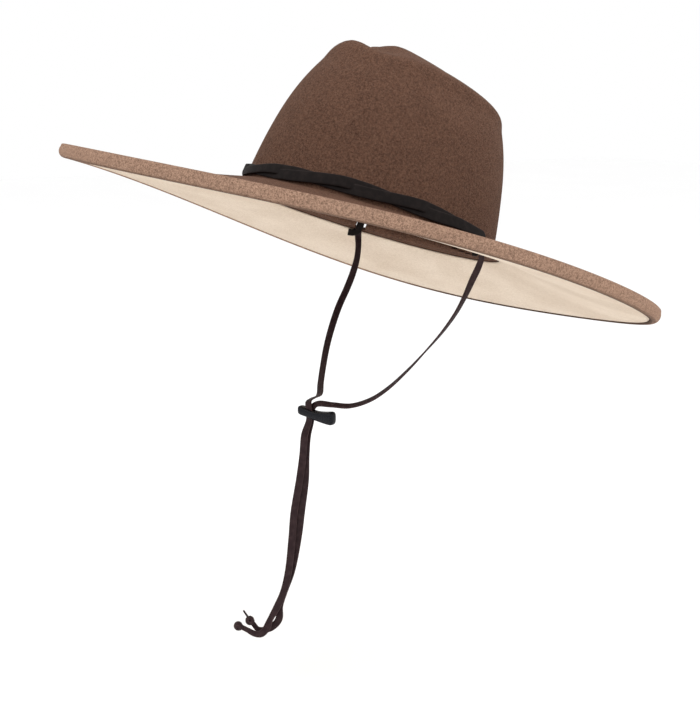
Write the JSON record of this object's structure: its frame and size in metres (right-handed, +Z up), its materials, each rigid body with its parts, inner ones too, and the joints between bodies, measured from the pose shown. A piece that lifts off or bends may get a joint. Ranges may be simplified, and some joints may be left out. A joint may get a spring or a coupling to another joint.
{
  "type": "safari hat",
  "caption": "Wide-brimmed felt hat with a teardrop crown, a twisted leather band and a chin lace with a slide, worn to shade the head and neck.",
  "frame": {"origin": "middle of the crown's opening, where the hat sits on the head", "axes": "+Z up, -Y ahead of the wearer, +X to the wearer's left; the hat leans back 19 degrees, as it is worn"},
  "size_m": [0.436, 0.4493, 0.4487],
  "materials": {
    "brown_felt": "melange wool felt, softly napped",
    "pale_felt": "pale wool felt, matte",
    "band_leather": "near-black leather, satin",
    "lace_leather": "dark brown leather, satin",
    "black_plastic": "black, glossy"
  },
  "bodies": {
    "root": {"felt_body": "brown_felt", "underbrim_facing": "pale_felt", "band_strip_a": "band_leather", "band_strip_b": "band_leather", "chin_lace_left": "lace_leather", "chin_lace_right": "lace_leather", "chin_slide": "black_plastic", "lace_knot_left": "lace_leather", "lace_knot_right": "lace_leather"}
  },
  "joints": []
}
